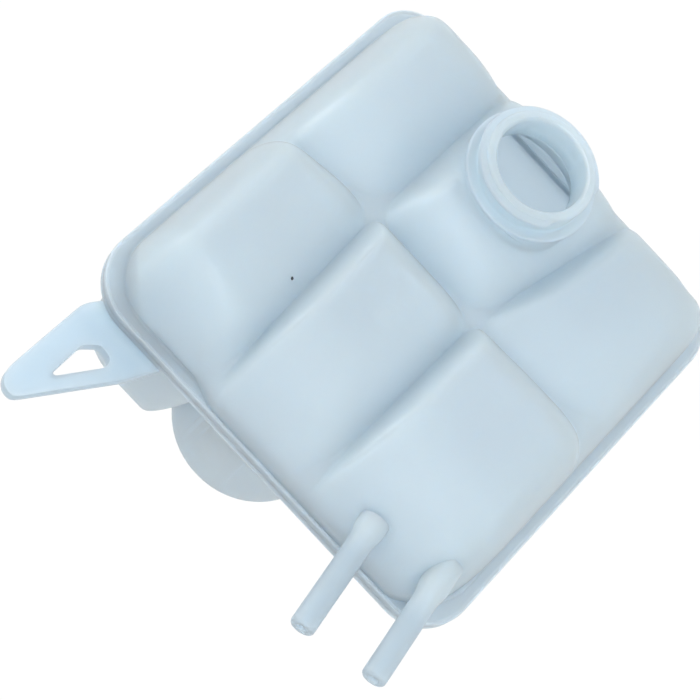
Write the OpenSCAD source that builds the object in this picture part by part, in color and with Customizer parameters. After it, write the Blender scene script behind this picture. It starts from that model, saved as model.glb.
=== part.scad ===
// Coolant expansion tank: two moulded half shells welded at a flat flange.
// The model is laid out about the middle of the flange and is moved at the
// end so that the eye of the mounting lug is at the origin.

/* [Flange] */
// Width across the welded flange, along X
flange_w = 200; // [180:1:220]
// Length across the welded flange, along Y
flange_l = 210; // [190:1:230]
// Corner radius of the flange
flange_r = 23; // [12:1:30]
// Thickness of the flange on each half shell
flange_t = 3; // [2:0.5:5]
// Height of the weld bead that runs round the flange edge
bead_h = 0.6; // [0.4:0.2:2]

/* [Upper shell] */
// Wall thickness of both shells
wall = 2.6; // [2:0.1:4]
// Step in from the flange edge to the foot of the shell wall
foot_step = 5.5; // [4:0.5:10]
// Corner radius of the shell wall at its foot
foot_r = 25; // [15:1:35]
// Height of the six pillows above the weld plane
pillow_h = 40; // [30:1:55]
// Height of the pillow that carries the filler neck
neck_pillow_h = 44; // [38:1:52]
// Height of the creases between the pillows
crease_h = 26; // [16:1:32]
// Softness of the shells' creases
crease_soft = 0.8; // [0.2:0.2:4]

/* [Filler neck] */
// Bore of the filler neck
neck_bore_d = 40; // [34:0.5:46]
// Outside diameter of the neck under the thread
neck_d = 49; // [44:0.5:54]
// Outside diameter over the thread
thread_d = 55; // [50:0.5:60]
// Rise of the thread in one turn
thread_pitch = 3; // [2:0.5:6]
// Diameter of the collar under the thread
collar_d = 58.8; // [56:0.2:66]
// Thickness of the collar
collar_t = 2.4; // [2:0.2:5]
// Height of the neck's mouth above its pillow
neck_len = 16; // [13:1:30]
// Height of the collar's top above its pillow
collar_up = 6; // [3:0.5:9]

/* [Hose connections] */
// Outside diameter of the two vent nipples
nipple_d = 10.4; // [7:0.2:13]
// Bore of the vent nipples
nipple_bore_d = 4.5; // [3:0.5:8]
// Length of the left vent nipple
nipple_1_len = 50.5; // [30:0.5:70]
// Length of the right vent nipple
nipple_2_len = 52.5; // [30:0.5:70]
// Outside diameter of the bottom outlet
outlet_d = 20; // [15:0.5:26]
// Bore of the bottom outlet
outlet_bore_d = 15; // [10:0.5:20]
// Length of the bottom outlet below the sump
outlet_len = 22; // [15:1:35]

/* [Lower shell] */
// Depth of the deep chamber at the lug's end
deep_h = 67; // [50:1:80]
// Depth of the shallow chambers at the other end
shallow_h = 45; // [35:1:60]
// Outside diameter of the round sump
sump_d = 73; // [60:1:80]
// Depth of the sump below the weld plane
sump_h = 80; // [70:1:95]
// Depth of the creases between the lower chambers
lower_crease_h = 38; // [25:1:42]
// Thickness of the mounting lug
lug_t = 6; // [5:0.5:12]

/* [Part] */
// Which node to draw

/* [Hidden] */
$fn = 96;
eps = 0.01;

hw = flange_w / 2;
hl = flange_l / 2;
foot_x = hw - foot_step;
foot_y = hl - foot_step;

// The shell walls start inside the flange, this far from the weld plane,
// and the flange stands this far into the tank as its weld lip.
root_z = 1;
weld_lip = 0.4;

// Flange corners from the front left one anticlockwise.
flange_corners = [flange_r + 1.5, flange_r - 0.5, flange_r, flange_r - 4];

// Creases: two that run along Y and one that runs along X.
crease_y = -0.5;
function crease_1(y) = -39 + 5 * max(crease_y - y, 0) / 92;
function crease_2(y) = 20.3 + 0.18 * max(y - crease_y, 0);
function crease_3(x) = crease_y - 5 * ease((-45 - x) / 45) + 1.3 * ease((x - 20) / 40);

// Filler neck axis and heights, and the foot of the neck's wall in its pillow.
neck_x = -7.4;
neck_y = 53;
mouth_z = neck_pillow_h + neck_len;
collar_z = neck_pillow_h + collar_up;
collar_under_z = collar_z - collar_t;
neck_root_z = neck_pillow_h - 13;
neck_root_r = neck_d / 2 + 4;

// Vent nipples: root point, turn of the axis from -Y towards +X. Each has a
// wider base that ends clear of the tank's wall.
nipple_z = crease_h - 6;
nipple_yaw = 8.5;
nipple_1 = [48.7, 2.5 - foot_y];
nipple_2 = [foot_x - 13.1, 11.5 - foot_y];
nipple_tip = 1.3;
base_1 = 6;
base_2 = 12;

// Sump axis.
sump_x = -11.3;
sump_y = 45.5 - foot_y;

// The sump's wall starts this far below the weld plane, inside the chambers.
sump_cover = 20;

// Mounting lug: two arms meet at the tip, and its root ends in the wall.
// Its points are measured from the corner where the foot lines meet.
lug_top_z = -flange_t - 0.5;
lug_z = lug_top_z - lug_t / 2;
lug_corner = [-foot_x, -foot_y];
lug_eye = lug_corner + [18.5, -24.5];
lug_outline = [
    [11.4, 5.6], [7.1, -2.1], [4.6, -5.9], [2.9, -10], [2.7, -49.5],
    [3.8, -54.3], [6.5, -57.3], [9.9, -58.3], [13, -57.5], [34.4, -21.9],
    [36.7, -17.9], [44.5, 1.2], [25, 1.3], [16.9, 2.7]
];
lug_window = [[16.1, -39.3], [15.7, -22.1], [20.2, -16.9], [26.1, -17.8], [26.9, -21]];

// Mesh steps: along X in the three columns, along Y in the two rows.
upper_steps = [[13, 13, 15], [18, 15]];
lower_steps = [[10, 10, 10], [13, 11]];

function ease(t) =
    let (c = min(max(t, 0), 1))
    c * c * (3 - 2 * c);

// Mesh stations from a to b, close together at both ends.
function stations(a, b, n) =
    [for (i = [0 : n - 1]) a + (b - a) * (1 - cos(180 * i / n)) / 2];

// How near a point is to a cushion's edge: 0 on its top, 1 at its edge.
// lo and hi are two corners, w the shoulder widths [left, right, front, back]
// and corner the squareness of the plan corner that is nearest.
function edge_share(x, y, lo, hi, w, corner) =
    let (
        ex = max(1 - (x - lo[0]) / w[0], 1 - (hi[0] - x) / w[1], 0),
        ey = max(1 - (y - lo[1]) / w[2], 1 - (hi[1] - y) / w[3], 0)
    )
    min(pow(pow(ex, corner) + pow(ey, corner), 1 / corner), 1);

// Cushion corners are round at the tank's long sides and nearly square at
// the creases.
round_corner_power = 2.2;
square_corner_power = 4;
function corner_power(x, c, lo, hi) =
    let (side = c == 0 ? 1 : -1)
    square_corner_power - (square_corner_power - round_corner_power)
        * (c == 1 ? 0 : ease(0.5 + side * ((lo[0] + hi[0]) / 2 - x) / 16));

// Edges of the column and the row that hold a point.
function column_of(x, y) = x < crease_1(y) ? 0 : x < crease_2(y) ? 1 : 2;
function column_edges(c, y, fx) =
    c == 0 ? [-fx, crease_1(y)] : c == 1 ? [crease_1(y), crease_2(y)] : [crease_2(y), fx];
function row_edges(front, x, fy) =
    front ? [-fy, crease_3(x)] : [crease_3(x), fy];

// Height of a base body with six cushions on it, inset by the wall t.
// base_w is [left, right, front at the left end, back, front further right],
// tops and widths are given per cushion.
base_arch = 2.1;
function six_cushions(x, y, t, base_h, base_w, tops, widths) =
    let (
        fx = foot_x - t,
        fy = foot_y - t,
        front_w = base_w[2] + (base_w[4] - base_w[2]) * ease((x + 48) / 16),
        w = [base_w[0], base_w[1], front_w, base_w[3]],
        b = edge_share(x, y, [-fx, -fy], [fx, fy], w, round_corner_power),
        c = column_of(x, y),
        front = y < crease_3(x),
        k = (front ? 0 : 3) + c,
        cx = column_edges(c, y, fx),
        ry = row_edges(front, x, fy),
        lo = [cx[0] + (c == 0 ? 0 : t), ry[0] + (front ? 0 : t)],
        hi = [cx[1] - (c == 2 ? 0 : t), ry[1] - (front ? t : 0)],
        e = edge_share(x, y, lo, hi, widths[k], corner_power(x, c, lo, hi)),
        rise = (tops[k] - base_h) * (1 - e * e)
    )
    edge_fade(x, y, t)
        * ((base_h - root_z - t) * pow(1 - pow(b, base_arch), 1 / base_arch)
            + rise * rise / (rise + crease_soft));

// Brings the skin down to its root right at the rounded foot outline.
fade_w = 0.4;
function edge_fade(x, y, t) =
    let (
        ax = foot_x - t - abs(x),
        ay = foot_y - t - abs(y),
        r = foot_r - t,
        d = (ax < r && ay < r) ? r - norm([r - ax, r - ay]) : min(ax, ay)
    )
    min(max(d, 0) / fade_w, 1);

// Moves a point of a square corner patch into the rounded corner.
function round_corner(x, y, fx, fy, r) =
    let (
        p = (abs(x) - fx + r) / r,
        q = (abs(y) - fy + r) / r
    )
    (p <= 0 || q <= 0)
        ? [x, y]
        : [
            sign(x) * (fx - r + r * p * sqrt(1 - q * q / 2)),
            sign(y) * (fy - r + r * q * sqrt(1 - p * p / 2))
        ];

// The front wall of the two right-hand columns reaches out to the bead.
function apron(x, y) = 4 * ease((x + 42) / 16) * ease((88 - x) / 16) * ease((-58 - y) / 38);

// The middle rows of the mesh follow the crease along X.
function bow(x, y) = (crease_3(x) - crease_y) * ease(1 - abs(y - crease_y) / 60);

// One skin of a shell: rows of points over the foot outline.
function skin(t, up, steps, base_h, base_w, tops, widths) =
    let (
        fx = foot_x - t,
        fy = foot_y - t,
        ys = concat(
            stations(-fy, crease_y, steps[1][0]),
            stations(crease_y, fy, steps[1][1]),
            [fy]
        )
    )
    [for (y = ys)
        let (
            b = [
                -fx,
                crease_1(y + bow(crease_1(y), y)),
                crease_2(y + bow(crease_2(y), y)),
                fx
            ],
            xs = concat(
                stations(b[0], b[1], steps[0][0]),
                stations(b[1], b[2], steps[0][1]),
                stations(b[2], b[3], steps[0][2]),
                [fx]
            )
        )
        for (x = xs)
            let (
                p = round_corner(x, y + bow(x, y), fx, fy, foot_r - t),
                z = six_cushions(p[0], p[1], t, base_h, base_w, tops, widths)
            )
            [p[0], p[1] - (up > 0 ? apron(p[0], p[1]) : 0), up * (root_z + z)]
    ];

// Triangles of a skin with ny rows of nx points, and the way round its rim.
function sheet_faces(nx, ny) =
    [for (j = [0 : ny - 2], i = [0 : nx - 2], h = [0, 1])
        let (a = j * nx + i)
        h == 0 ? [a, a + nx + 1, a + 1] : [a, a + nx, a + nx + 1]];
function sheet_rim(nx, ny) = concat(
    [for (i = [0 : nx - 2]) i],
    [for (j = [0 : ny - 2]) j * nx + nx - 1],
    [for (i = [nx - 1 : -1 : 1]) (ny - 1) * nx + i],
    [for (j = [ny - 1 : -1 : 1]) j * nx]
);

// Closed solid between an outer and an inner skin.
module shell_solid(up, steps, base_h, base_w, tops, widths) {
    nx = steps[0][0] + steps[0][1] + steps[0][2] + 1;
    ny = steps[1][0] + steps[1][1] + 1;
    n = nx * ny;
    outer = skin(0, up, steps, base_h, base_w, tops, widths);
    inner = skin(wall, up, steps, base_h, base_w, tops, widths);
    rim = sheet_rim(nx, ny);
    sheet = sheet_faces(nx, ny);
    lip = [for (k = [0 : len(rim) - 1], h = [0, 1])
        let (a = rim[k], b = rim[(k + 1) % len(rim)])
        h == 0 ? [a, b, b + n] : [a, b + n, a + n]
    ];
    faces = concat(
        sheet,
        [for (f = sheet) [f[0] + n, f[2] + n, f[1] + n]],
        lip
    );
    polyhedron(
        points = concat(outer, inner),
        faces = up > 0 ? faces : [for (f = faces) [f[0], f[2], f[1]]],
        convexity = 8
    );
}

// Room inside a shell, up to the middle of its wall.
module shell_room(up, steps, base_h, base_w, tops, widths) {
    nx = steps[0][0] + steps[0][1] + steps[0][2] + 1;
    ny = steps[1][0] + steps[1][1] + 1;
    top = skin(wall / 2, up, steps, base_h, base_w, tops, widths);
    faces = concat(sheet_faces(nx, ny), [sheet_rim(nx, ny)]);
    polyhedron(
        points = top,
        faces = up > 0 ? faces : [for (f = faces) [for (i = [len(f) - 1 : -1 : 0]) f[i]]],
        convexity = 8
    );
}

// Plate with its own radius at each corner, from the front left one on.
module rounded_plate(w, l, radii, t) {
    ways = [[-1, -1], [1, -1], [1, 1], [-1, 1]];
    linear_extrude(t) {
        difference() {
            square([w, l], center = true);
            for (k = [0 : 3])
                translate([ways[k][0] * w / 2, ways[k][1] * l / 2])
                    square(2 * radii[k], center = true);
        }
        for (k = [0 : 3])
            translate([ways[k][0] * (w / 2 - radii[k]), ways[k][1] * (l / 2 - radii[k])])
                circle(radii[k]);
    }
}

// Flat ring that grows out of the shell wall, with its half of the weld bead.
module flange_ring() {
    cut = foot_step + wall + weld_lip;
    bead_w = 1.5;
    inner_r = foot_r - wall - weld_lip;
    difference() {
        union() {
            rounded_plate(flange_w, flange_l, flange_corners, flange_t);
            difference() {
                rounded_plate(flange_w, flange_l, flange_corners, flange_t + bead_h);
                translate([0, 0, -1])
                    rounded_plate(
                        flange_w - 2 * bead_w,
                        flange_l - 2 * bead_w,
                        [for (r = flange_corners) r - bead_w],
                        flange_t + bead_h + 2
                    );
            }
        }
        translate([0, 0, -1])
            rounded_plate(
                flange_w - 2 * cut,
                flange_l - 2 * cut,
                [inner_r, inner_r, inner_r, inner_r],
                flange_t + bead_h + 2
            );
    }
}

// Shoulder widths [left, right, front, back] of the upper cushions,
// front row first.
upper_widths = [
    [20, 34, 26, 14], [9, 30, 46, 14], [9, 28, 50, 14],
    [20, 34, 38, 36], [14, 36, 25, 52], [10, 38, 38, 44]
];
upper_tops = [pillow_h, pillow_h, pillow_h, pillow_h - 1, neck_pillow_h, pillow_h - 5];
upper_base_w = [14, 16, 22, 19, 46];

lower_widths = [
    [30, 12, 8, 24], [20, 24, 34, 24], [20, 40, 60, 24],
    [18, 24, 24, 30], [20, 24, 24, 34], [20, 40, 24, 40]
];
lower_tops = [deep_h, deep_h - 10, shallow_h, deep_h - 8, deep_h - 14, shallow_h];
lower_base_w = [18, 36, 8, 26, 40];

module neck_body() {
    translate([neck_x, neck_y, 0]) {
        rotate_extrude()
            polygon([
                [0, neck_root_z],
                [neck_root_r, neck_root_z],
                [neck_d / 2 + 2.5, collar_under_z],
                [collar_d / 2, collar_under_z],
                [collar_d / 2, collar_z],
                [neck_d / 2, collar_z],
                [neck_d / 2, mouth_z - 2],
                [neck_d / 2 - 1.4, mouth_z],
                [0, mouth_z]
            ]);
        thread_ridge();
    }
}

// Coarse outside thread: a trapezoid ridge that runs down from the mouth.
thread_start = 325;
thread_turns = 0.85;
thread_top_z = mouth_z - 1.6;
function thread_section(k, n) =
    let (
        turn = thread_turns * k / n,
        a = thread_start - 360 * turn,
        z = thread_top_z - thread_pitch * turn,
        fade = ease(min(k, n - k) / 3),
        r0 = neck_d / 2 - 1.2,
        r1 = r0 + (thread_d / 2 - r0) * (0.3 + 0.7 * fade),
        h0 = 1.6,
        h1 = 0.6
    )
    [for (p = [[r0, -h0], [r1, -h1], [r1, h1], [r0, h0]])
        [p[0] * cos(a), p[0] * sin(a), z + p[1]]];

module thread_ridge() {
    n = 36;
    polyhedron(
        points = [for (k = [0 : n]) each thread_section(k, n)],
        faces = concat(
            [[0, 1, 2, 3]],
            [for (k = [0 : n - 1], i = [0 : 3], h = [0, 1])
                let (a = 4 * k + i, b = 4 * k + (i + 1) % 4)
                h == 0 ? [a, b + 4, b] : [a, a + 4, b + 4]],
            [[4 * n + 3, 4 * n + 2, 4 * n + 1, 4 * n]]
        )
    );
}

module neck_bore() {
    translate([neck_x, neck_y, 0])
        rotate_extrude()
            polygon([
                [0, neck_root_z - 1],
                [neck_root_r - wall, neck_root_z - 1],
                [neck_root_r - wall - 1, collar_under_z - 7],
                [neck_bore_d / 2, collar_under_z - 3],
                [neck_bore_d / 2, mouth_z - 1],
                [neck_bore_d / 2 + 1, mouth_z + eps],
                [0, mouth_z + eps]
            ]);
}

module nipple_at(p) {
    translate([p[0], p[1], nipple_z])
        rotate([0, 0, nipple_yaw])
            rotate([90, 0, 0])
                children();
}

module nipple_body(root, base, len) {
    r = nipple_d / 2;
    rotate_extrude()
        polygon([
            [0, -root],
            [r + 1.2, -root],
            [r + 1.2, base - 5],
            [r, base],
            [r, len - nipple_tip],
            [r - nipple_tip, len],
            [0, len]
        ]);
}

module nipple_bore(root, len) {
    translate([0, 0, -root - 1])
        cylinder(r = nipple_bore_d / 2, h = len + root + 2);
}

module upper_shell() {
    root_1 = 4;
    root_2 = 6;
    color([0.80, 0.86, 0.92])
        translate([-lug_eye[0], -lug_eye[1], -lug_z])
            difference() {
                union() {
                    shell_solid(1, upper_steps, crease_h, upper_base_w, upper_tops, upper_widths);
                    flange_ring();
                    difference() {
                        union() {
                            neck_body();
                            nipple_at(nipple_1) nipple_body(root_1, base_1, nipple_1_len);
                            nipple_at(nipple_2) nipple_body(root_2, base_2, nipple_2_len);
                        }
                        shell_room(1, upper_steps, crease_h, upper_base_w, upper_tops, upper_widths);
                    }
                }
                neck_bore();
                nipple_at(nipple_1) nipple_bore(root_1, nipple_1_len);
                nipple_at(nipple_2) nipple_bore(root_2, nipple_2_len);
            }
}

module sump_outer() {
    r = sump_d / 2;
    translate([sump_x, sump_y, 0])
        rotate_extrude()
            union() {
                translate([0, -sump_h])
                    square([r - 6, sump_h - sump_cover]);
                translate([0, -sump_h + 6])
                    square([r, sump_h - 6 - sump_cover]);
                translate([r - 6, -sump_h + 6])
                    circle(6);
            }
}

module sump_inner() {
    r = sump_d / 2 - wall;
    translate([sump_x, sump_y, 0])
        rotate_extrude()
            union() {
                translate([0, -sump_h + wall])
                    square([r - 4, sump_h - wall - sump_cover + 1]);
                translate([0, -sump_h + wall + 4])
                    square([r, sump_h - wall - 3 - sump_cover]);
                translate([r - 4, -sump_h + wall + 4])
                    circle(4);
            }
}

module outlet_body() {
    r = outlet_d / 2;
    translate([sump_x, sump_y, -sump_h - outlet_len])
        rotate_extrude()
            polygon([
                [0, 0],
                [r - 1.2, 0],
                [r, 2],
                [r, outlet_len - 2],
                [r + 2, outlet_len],
                [r + 2, outlet_len + 1],
                [0, outlet_len + 1]
            ]);
}

module lug() {
    translate([0, 0, lug_top_z - lug_t])
        linear_extrude(lug_t)
            difference() {
                translate(lug_corner)
                    polygon(lug_outline);
                translate(lug_corner)
                    polygon(lug_window);
            }
}

module lower_shell() {
    color([0.74, 0.81, 0.88])
        translate([-lug_eye[0], -lug_eye[1], -lug_z])
            difference() {
                union() {
                    shell_solid(
                        -1, lower_steps, lower_crease_h, lower_base_w, lower_tops, lower_widths
                    );
                    mirror([0, 0, 1])
                        flange_ring();
                    difference() {
                        union() {
                            sump_outer();
                            lug();
                        }
                        shell_room(
                            -1, lower_steps, lower_crease_h, lower_base_w, lower_tops, lower_widths
                        );
                    }
                    outlet_body();
                }
                sump_inner();
                translate([sump_x, sump_y, -sump_h - outlet_len - 1])
                    cylinder(r = outlet_bore_d / 2, h = outlet_len + 10);
            }
}

upper_shell();
lower_shell();
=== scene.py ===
"""Coolant expansion tank: the two welded half shells in translucent moulded plastic.

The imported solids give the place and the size. The classes below mould the same
two half shells again on a finer surface, round their edges, dress them in one
milky plastic and set a pale studio round them.
"""

import logging
import math
from dataclasses import dataclass, field
from enum import Enum

import bpy
import numpy as np
from mathutils import Matrix, Vector

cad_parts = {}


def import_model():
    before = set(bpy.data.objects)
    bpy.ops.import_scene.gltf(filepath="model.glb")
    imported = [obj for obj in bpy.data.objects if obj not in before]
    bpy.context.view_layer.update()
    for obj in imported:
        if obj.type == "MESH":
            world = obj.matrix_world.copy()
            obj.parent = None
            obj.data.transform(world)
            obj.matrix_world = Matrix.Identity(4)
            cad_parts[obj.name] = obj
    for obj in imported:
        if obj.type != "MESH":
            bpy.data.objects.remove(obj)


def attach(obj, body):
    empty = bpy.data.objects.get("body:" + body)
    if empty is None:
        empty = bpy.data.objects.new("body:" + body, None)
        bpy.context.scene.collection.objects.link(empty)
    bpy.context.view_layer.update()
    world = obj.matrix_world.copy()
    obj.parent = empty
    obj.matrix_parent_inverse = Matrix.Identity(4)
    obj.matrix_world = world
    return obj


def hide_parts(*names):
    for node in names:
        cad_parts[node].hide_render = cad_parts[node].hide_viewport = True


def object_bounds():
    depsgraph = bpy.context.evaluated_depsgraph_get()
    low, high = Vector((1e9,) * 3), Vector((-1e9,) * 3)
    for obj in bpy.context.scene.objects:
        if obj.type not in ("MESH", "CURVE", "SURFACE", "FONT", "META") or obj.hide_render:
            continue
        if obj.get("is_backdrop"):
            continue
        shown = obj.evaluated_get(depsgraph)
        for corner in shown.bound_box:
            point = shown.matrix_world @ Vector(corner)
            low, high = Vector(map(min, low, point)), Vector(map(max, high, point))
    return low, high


LOG = logging.getLogger("expansion_tank")
MILLIMETRE = 0.001
ROOT_BODY = "root"

# In millimetres: how far solids reach into what they join, and how far cuts run past a mouth.
SPARE = 1.0
CUT_PAST = 0.2


class CadNode(Enum):
    """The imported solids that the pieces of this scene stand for."""

    UPPER = "upper_shell"
    LOWER = "lower_shell"


class Side(Enum):
    """Which way a half shell bulges from the weld plane."""

    UP = 1
    DOWN = -1


class Carve(Enum):
    """What a tool solid does to the moulding."""

    ADD = "UNION"
    CUT = "DIFFERENCE"


def ease(t: np.ndarray | float) -> np.ndarray:
    """Smooth step from 0 to 1.

    Args:
        t: Position along the step, held between 0 and 1.

    Returns:
        The eased values.
    """
    held = np.clip(t, 0.0, 1.0)
    return held * held * (3.0 - 2.0 * held)


def bend(start: float | Vector, corner: float | Vector, end: float | Vector, t: float) -> float | Vector:
    """Value on a curve that leaves the start and meets the end as if both led to the corner.

    Args:
        start: Value at the curve's start.
        corner: Value that the curve rounds off.
        end: Value at the curve's end.
        t: Share of the way, from 0 to 1.

    Returns:
        The value, of the same kind as the start.
    """
    return start * (1 - t) ** 2 + corner * 2 * t * (1 - t) + end * t * t


def stations(start: float, end: float, count: int) -> np.ndarray:
    """Mesh stations between two values, close together at both ends.

    Args:
        start: First value.
        end: Value that the stations stop short of.
        count: Number of stations.

    Returns:
        The stations, without the end value.
    """
    turn = np.arange(count) / count
    return start + (end - start) * (1.0 - np.cos(np.pi * turn)) / 2.0


@dataclass(frozen=True)
class TankPlan:
    """Outline sizes that both half shells share, in millimetres."""

    flange_width: float = 200.0
    flange_length: float = 210.0
    flange_radii: tuple[float, float, float, float] = (24.5, 22.5, 23.0, 19.0)
    flange_thickness: float = 3.0
    bead_height: float = 0.6
    wall: float = 2.6
    weld_lip: float = 0.4
    foot_step: float = 5.5
    foot_radius: float = 25.0
    root_height: float = 1.0
    row_crease: float = -0.5
    row_crease_left: float = 5.0
    row_crease_right: float = 1.3
    left_bend: tuple[float, float] = (-45.0, 45.0)
    right_bend: tuple[float, float] = (20.0, 40.0)
    bow_reach: float = 60.0
    left_crease: float = -39.0
    left_crease_lean: float = 5.0 / 92.0
    right_crease: float = 20.3
    right_crease_lean: float = 0.18
    lug_eye: tuple[float, float, float] = (-76.0, -124.0, -6.5)

    @property
    def foot_x(self) -> float:
        """Half width of the shell wall at its foot."""
        return self.flange_width / 2.0 - self.foot_step

    @property
    def foot_y(self) -> float:
        """Half length of the shell wall at its foot."""
        return self.flange_length / 2.0 - self.foot_step

    def to_frame(self, points: np.ndarray) -> np.ndarray:
        """Moves points from the flange's middle to the lug's eye, in metres."""
        return (np.asarray(points, float) - np.array(self.lug_eye)) * MILLIMETRE

    def left_crease_at(self, y: np.ndarray) -> np.ndarray:
        """X of the crease between the left and middle columns."""
        return self.left_crease + self.left_crease_lean * np.maximum(self.row_crease - y, 0.0)

    def right_crease_at(self, y: np.ndarray) -> np.ndarray:
        """X of the crease between the middle and right columns."""
        return self.right_crease + self.right_crease_lean * np.maximum(y - self.row_crease, 0.0)

    def row_crease_at(self, x: np.ndarray) -> np.ndarray:
        """Y of the crease between the front and rear rows."""
        left_start, left_reach = self.left_bend
        right_start, right_reach = self.right_bend
        left = self.row_crease_left * ease((left_start - x) / left_reach)
        right = self.row_crease_right * ease((x - right_start) / right_reach)
        return self.row_crease - left + right

    def bow_at(self, x: np.ndarray, y: np.ndarray) -> np.ndarray:
        """How far a mesh row is moved to follow the crease along X."""
        near = ease(1.0 - np.abs(y - self.row_crease) / self.bow_reach)
        return (self.row_crease_at(x) - self.row_crease) * near


@dataclass(frozen=True)
class Cushion:
    """One rounded cushion: its height and the widths of its four shoulders."""

    top: float
    left: float
    right: float
    front: float
    back: float


@dataclass(frozen=True)
class Pad:
    """Low round pad on a cushion, where a mould has its plain marks."""

    x: float
    y: float
    radius: float
    edge: float
    lift: float

    def height(self, x: np.ndarray, y: np.ndarray) -> np.ndarray:
        """Height of the pad over the cushion."""
        away = np.hypot(x - self.x, y - self.y)
        return self.lift * ease((self.radius - away) / self.edge)


@dataclass(frozen=True)
class CushionSheet:
    """A base body with six cushions in two rows on it, over one rounded foot outline."""

    plan: TankPlan
    side: Side
    front_row: tuple[Cushion, Cushion, Cushion]
    rear_row: tuple[Cushion, Cushion, Cushion]
    base: Cushion
    base_front_right: float
    columns: tuple[int, int, int]
    rows: tuple[int, int]
    crease_soft: float = 0.8
    arch: float = 2.1
    round_corner: float = 2.2
    square_corner: float = 4.0
    corner_blend: float = 16.0
    base_step_at: float = -48.0
    base_step_reach: float = 16.0
    fade: float = 0.4
    apron: float = 0.0
    apron_span: tuple[float, float] = (-42.0, 88.0)
    apron_ends: float = 16.0
    apron_back: float = -58.0
    apron_reach: float = 38.0
    pads: tuple[Pad, ...] = ()

    def _per_cushion(self, name: str) -> np.ndarray:
        """One size of all six cushions, front row first."""
        return np.array([getattr(cushion, name) for cushion in self.front_row + self.rear_row])

    @staticmethod
    def _edge_share(
        x: np.ndarray,
        y: np.ndarray,
        low: tuple[np.ndarray, np.ndarray],
        high: tuple[np.ndarray, np.ndarray],
        widths: tuple[np.ndarray, ...],
        corner: np.ndarray,
    ) -> np.ndarray:
        """How near each point is to its cushion's edge: 0 on the top, 1 at the edge.

        Args:
            x: X of the points.
            y: Y of the points.
            low: Left and front edges of the cushion that holds each point.
            high: Right and back edges.
            widths: Left, right, front and back shoulder widths.
            corner: Squareness of the nearest plan corner.

        Returns:
            The share of each point.
        """
        left, right, front, back = widths
        across = np.maximum(1.0 - (x - low[0]) / left, 1.0 - (high[0] - x) / right)
        along = np.maximum(1.0 - (y - low[1]) / front, 1.0 - (high[1] - y) / back)
        across = np.maximum(across, 0.0)
        along = np.maximum(along, 0.0)
        return np.minimum((across**corner + along**corner) ** (1.0 / corner), 1.0)

    def _base_height(self, x: np.ndarray, y: np.ndarray, inset: float) -> np.ndarray:
        """Height of the base body over its root.

        Args:
            x: X of the points.
            y: Y of the points.
            inset: Wall thickness by which the body is moved inwards.

        Returns:
            The heights.
        """
        foot_x = self.plan.foot_x - inset
        foot_y = self.plan.foot_y - inset
        step = self.base_front_right - self.base.front
        front = self.base.front + step * ease((x - self.base_step_at) / self.base_step_reach)
        widths = (self.base.left, self.base.right, front, self.base.back)
        share = self._edge_share(x, y, (-foot_x, -foot_y), (foot_x, foot_y), widths, self.round_corner)
        rise = (1.0 - share**self.arch) ** (1.0 / self.arch)
        return (self.base.top - self.plan.root_height - inset) * rise

    def height(self, x: np.ndarray, y: np.ndarray, inset: float) -> np.ndarray:
        """Height of the sheet over its root.

        Args:
            x: X of the points.
            y: Y of the points.
            inset: Wall thickness by which the sheet is moved inwards.

        Returns:
            The heights.
        """
        plan = self.plan
        foot_x = plan.foot_x - inset
        foot_y = plan.foot_y - inset
        crease_left = plan.left_crease_at(y)
        crease_right = plan.right_crease_at(y)
        crease_row = plan.row_crease_at(x)
        column = np.where(x < crease_left, 0, np.where(x < crease_right, 1, 2))
        front = y < crease_row
        which = np.where(front, 0, 3) + column
        low_x = np.choose(column, (np.full_like(x, -foot_x), crease_left + inset, crease_right + inset))
        high_x = np.choose(column, (crease_left - inset, crease_right - inset, np.full_like(x, foot_x)))
        low_y = np.where(front, -foot_y, crease_row + inset)
        high_y = np.where(front, crease_row - inset, foot_y)
        outward = np.where(column == 0, 1.0, -1.0) * ((low_x + high_x) / 2.0 - x)
        roundness = np.where(column == 1, 0.0, ease(0.5 + outward / self.corner_blend))
        corner = self.square_corner - (self.square_corner - self.round_corner) * roundness
        widths = tuple(self._per_cushion(name)[which] for name in ("left", "right", "front", "back"))
        share = self._edge_share(x, y, (low_x, low_y), (high_x, high_y), widths, corner)
        rise = (self._per_cushion("top")[which] - self.base.top) * (1.0 - share * share)
        cushions = rise * rise / (rise + self.crease_soft)
        height = (self._base_height(x, y, inset) + cushions) * self._edge_fade(x, y, inset)
        if inset == 0:
            for pad in self.pads:
                height = height + pad.height(x, y)
        return height

    def _edge_fade(self, x: np.ndarray, y: np.ndarray, inset: float) -> np.ndarray:
        """Brings the sheet down to its root right at the rounded foot outline.

        Args:
            x: X of the points.
            y: Y of the points.
            inset: Wall thickness by which the outline is moved inwards.

        Returns:
            The share of its height that each point keeps.
        """
        radius = self.plan.foot_radius - inset
        gap_x = self.plan.foot_x - inset - np.abs(x)
        gap_y = self.plan.foot_y - inset - np.abs(y)
        round_gap = radius - np.hypot(radius - gap_x, radius - gap_y)
        gap = np.where((gap_x < radius) & (gap_y < radius), round_gap, np.minimum(gap_x, gap_y))
        return np.minimum(np.maximum(gap, 0.0) / self.fade, 1.0)

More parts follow.
